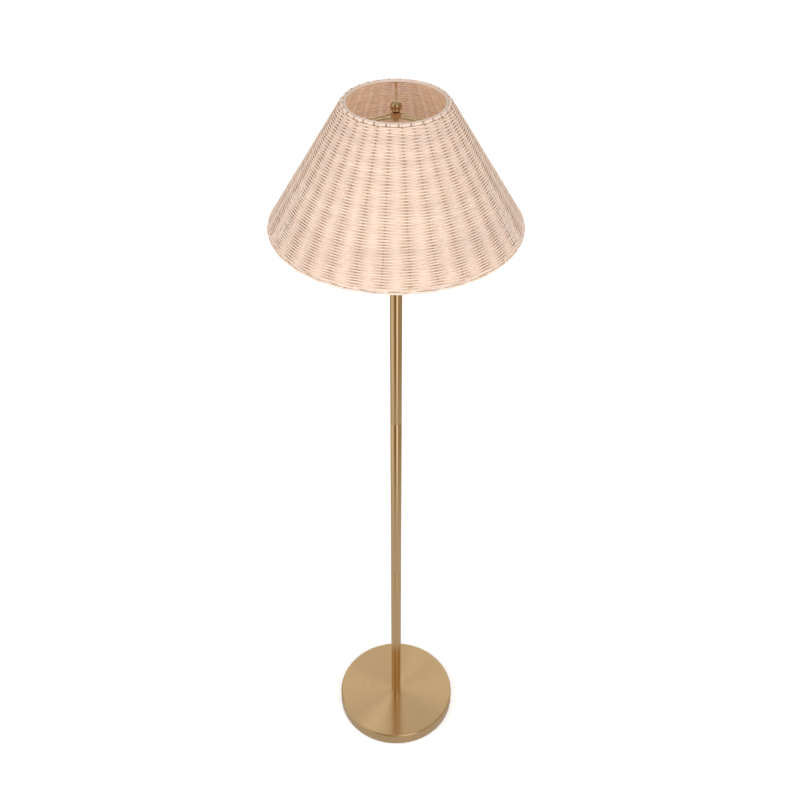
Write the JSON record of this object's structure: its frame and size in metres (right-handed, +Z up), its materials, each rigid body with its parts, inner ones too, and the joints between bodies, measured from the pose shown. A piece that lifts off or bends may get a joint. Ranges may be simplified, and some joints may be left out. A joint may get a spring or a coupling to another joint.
{
  "type": "floor lamp",
  "caption": "Floor lamp: weighted round base, slim jointed brass pole, keyed bulb socket and a wire harp that carries a cone shade of woven rattan under a ball finial.",
  "frame": {"origin": "centre of the base on the floor", "axes": "+Z up along the pole, -Y towards the front, where the switch key points; the cord inlet is at +Y"},
  "size_m": [0.4136, 0.4136, 1.501],
  "materials": {
    "satin_brass": "satin brushed, champagne gold",
    "harp_brass": "bright drawn wire",
    "socket_brass": "drawn and lacquered",
    "plain_steel": "zinc plated",
    "bulb_metal": "rolled",
    "cast_weight": "cast concrete",
    "felt": "pressed felt",
    "black_plastic": "moulded",
    "phenolic": "moulded phenolic",
    "card_liner": "pressed board",
    "frosted_glass": "frosted white",
    "rattan_weave": "natural woven rattan core",
    "rattan_border": "natural rattan, closely wound",
    "coated_wire": "cream coated wire"
  },
  "bodies": {
    "stand": {"base_cover": "satin_brass", "lower_pole": "satin_brass", "middle_pole": "satin_brass", "upper_pole": "satin_brass", "pole_cap": "satin_brass", "harp_saddle": "satin_brass", "harp_wire": "harp_brass", "harp_stud": "harp_brass", "socket_cap": "socket_brass", "socket_shell": "socket_brass", "screw_shell": "socket_brass", "centre_contact": "socket_brass", "live_terminal_screw": "socket_brass", "base_washer": "plain_steel", "base_nut": "plain_steel", "base_nipple": "plain_steel", "lower_pole_foot_insert": "plain_steel", "lower_pole_head_insert": "plain_steel", "middle_pole_foot_insert": "plain_steel", "middle_pole_head_insert": "plain_steel", "upper_pole_foot_insert": "plain_steel", "upper_pole_head_insert": "plain_steel", "lower_joint_nipple": "plain_steel", "upper_joint_nipple": "plain_steel", "top_nipple": "plain_steel", "neutral_terminal_screw": "plain_steel", "base_weight": "cast_weight", "base_pad": "felt", "cord_bushing": "black_plastic", "socket_body": "phenolic", "socket_liner": "card_liner"},
    "switch_key": {"switch_stem": "plain_steel", "switch_knob": "black_plastic"},
    "bulb": {"bulb_button": "plain_steel", "bulb_insulator": "black_plastic", "bulb_cap": "bulb_metal", "bulb_glass": "frosted_glass"},
    "left_ferrule": {"left_harp_ferrule": "harp_brass"},
    "right_ferrule": {"right_harp_ferrule": "harp_brass"},
    "shade": {"spider_hub": "satin_brass", "back_spider_arm": "satin_brass", "left_spider_arm": "satin_brass", "right_spider_arm": "satin_brass", "top_ring": "coated_wire", "shade_weave": "rattan_weave", "top_border": "rattan_border", "bottom_border": "rattan_border", "bottom_ring": "coated_wire"},
    "finial": {"finial": "satin_brass"}
  },
  "joints": [
    {"name": "switch_turn", "type": "hinge", "parent": "stand", "child": "switch_key", "pos_m": [0, -0.02, 1.3271], "axis": [0, -1, 0], "continuous": true},
    {"name": "bulb_unscrew", "type": "hinge", "parent": "stand", "child": "bulb", "pos_m": [0, 0, 1.36], "axis": [0, 0, 1], "range_deg": [0, 1440]},
    {"name": "left_ferrule_lift", "type": "slide", "parent": "stand", "child": "left_ferrule", "axis": [0, 0, 1], "range_m": [0, 0.01]},
    {"name": "right_ferrule_lift", "type": "slide", "parent": "stand", "child": "right_ferrule", "axis": [0, 0, 1], "range_m": [0, 0.01]},
    {"name": "shade_swivel", "type": "hinge", "parent": "stand", "child": "shade", "pos_m": [0, 0, 1.48], "axis": [0, 0, 1], "continuous": true},
    {"name": "finial_unscrew", "type": "hinge", "parent": "stand", "child": "finial", "pos_m": [0, 0, 1.49], "axis": [0, 0, 1], "range_deg": [0, 2160]}
  ]
}
